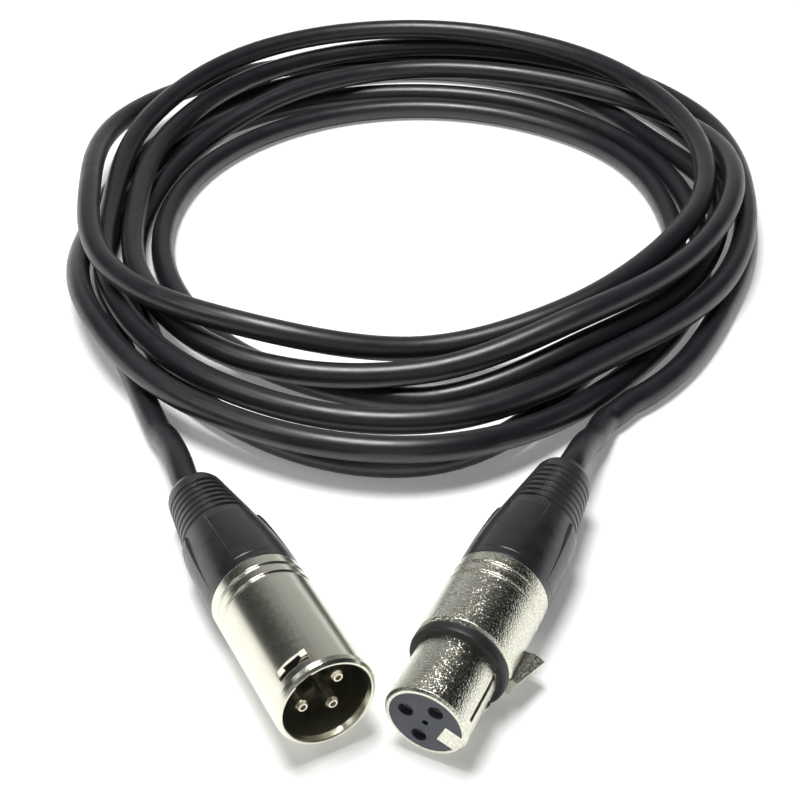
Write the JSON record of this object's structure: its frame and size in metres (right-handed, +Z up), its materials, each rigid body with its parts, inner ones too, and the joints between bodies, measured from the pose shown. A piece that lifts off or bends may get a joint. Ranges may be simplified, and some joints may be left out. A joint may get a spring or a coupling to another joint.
{
  "type": "xlr microphone cable coil",
  "caption": "Flat coil of black microphone cable with a male and a female latching audio connector side by side.",
  "frame": {"origin": "on the floor, at the middle of the box round the two connectors, without the cable", "axes": "+Z up from the floor, +Y from the connectors to the coil, +X from the male connector's side to the female's"},
  "size_m": [0.1881, 0.2925, 0.0218],
  "materials": {
    "nickel_shell": "satin nickel plate on a turned and cast barrel",
    "black_insert": "black moulded plastic",
    "contact_metal": "plated contact metal",
    "steel": "plated spring steel",
    "grey_clamp": "grey moulded plastic",
    "black_boot": "semi-gloss black moulding",
    "black_rubber": "black rubber",
    "shield_drain": "tinned drain wire",
    "white_core": "white insulation",
    "red_core": "red insulation",
    "cable_jacket": "flexible black jacket with a soft sheen"
  },
  "bodies": {
    "cable_and_barrels": {"male_shell": "nickel_shell", "male_insert": "black_insert", "male_pin_1": "contact_metal", "male_pin_2": "contact_metal", "male_pin_3": "contact_metal", "male_core": "cable_jacket", "male_wire_1": "shield_drain", "male_wire_2": "white_core", "male_wire_3": "red_core", "female_shell": "nickel_shell", "female_insert": "black_insert", "female_socket_1": "contact_metal", "female_socket_2": "contact_metal", "female_socket_3": "contact_metal", "female_ring": "black_rubber", "latch_pin": "steel", "latch_spring": "steel", "female_core": "cable_jacket", "female_wire_1": "shield_drain", "female_wire_2": "white_core", "female_wire_3": "red_core", "cable_coil": "cable_jacket", "male_lead": "cable_jacket", "female_lead": "cable_jacket"},
    "latch": {"latch_lever": "steel"},
    "male_clamp": {"male_chuck": "grey_clamp"},
    "male_tail": {"male_boot": "black_boot"},
    "female_clamp": {"female_chuck": "grey_clamp"},
    "female_tail": {"female_boot": "black_boot"}
  },
  "joints": [
    {"name": "latch_press", "type": "hinge", "parent": "cable_and_barrels", "child": "latch", "pos_m": [0.02535, -0.01084, 0.00673], "axis": [-0.3515, 0.1707, -0.9205], "range_deg": [0, 3], "stiffness_Nm_per_rad": 0.5, "springref_deg": -5.73, "deforming": ["latch_spring"]},
    {"name": "male_back_off", "type": "slide", "parent": "cable_and_barrels", "child": "male_clamp", "axis": [-0.4513, 0.8896, -0.0698], "range_m": [0, 0.001]},
    {"name": "male_unscrew", "type": "hinge", "parent": "male_clamp", "child": "male_tail", "pos_m": [-0.02268, -0.00159, 0.01015], "axis": [-0.4513, 0.8896, -0.0698], "range_deg": [0, 360]},
    {"name": "female_back_off", "type": "slide", "parent": "cable_and_barrels", "child": "female_clamp", "axis": [0.4368, 0.8996, 0], "range_m": [0, 0.001]},
    {"name": "female_unscrew", "type": "hinge", "parent": "female_clamp", "child": "female_tail", "pos_m": [0.02315, -0.0004, 0.0095], "axis": [0.4368, 0.8996, 0], "range_deg": [0, 360]}
  ],
  "couplings": [
    {"joint": "male_unscrew", "follows": "male_back_off", "rad_per_m": 6283.2},
    {"joint": "female_unscrew", "follows": "female_back_off", "rad_per_m": 6283.2}
  ]
}
